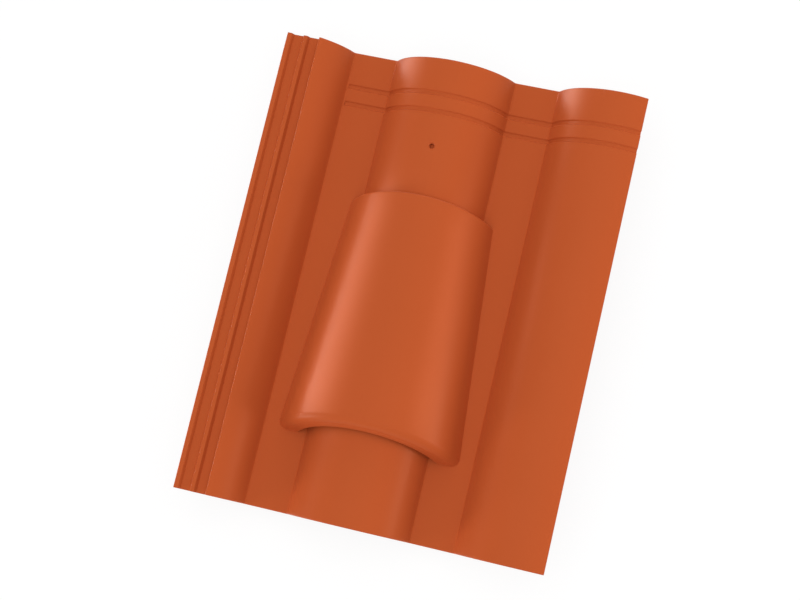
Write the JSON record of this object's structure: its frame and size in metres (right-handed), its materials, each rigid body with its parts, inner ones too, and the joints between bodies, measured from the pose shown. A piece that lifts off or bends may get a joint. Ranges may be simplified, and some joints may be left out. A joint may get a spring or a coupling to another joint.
{
  "type": "ventilating roof tile",
  "caption": "Double-roll interlocking concrete roof tile with a tapering hood over its middle roll, whose downhill mouth lets air out of the roof space.",
  "frame": {"origin": "below the middle of the tile's plan, at the level of the feet of the two nibs", "axes": "+X across the roof to the right, +Y up the slope to the tile's head, +Z out of the weather side"},
  "size_m": [0.33, 0.42, 0.0811],
  "materials": {
    "coated_concrete": "satin coat on cast concrete"
  },
  "bodies": {
    "root": {"vent_tile": "coated_concrete"}
  },
  "joints": []
}
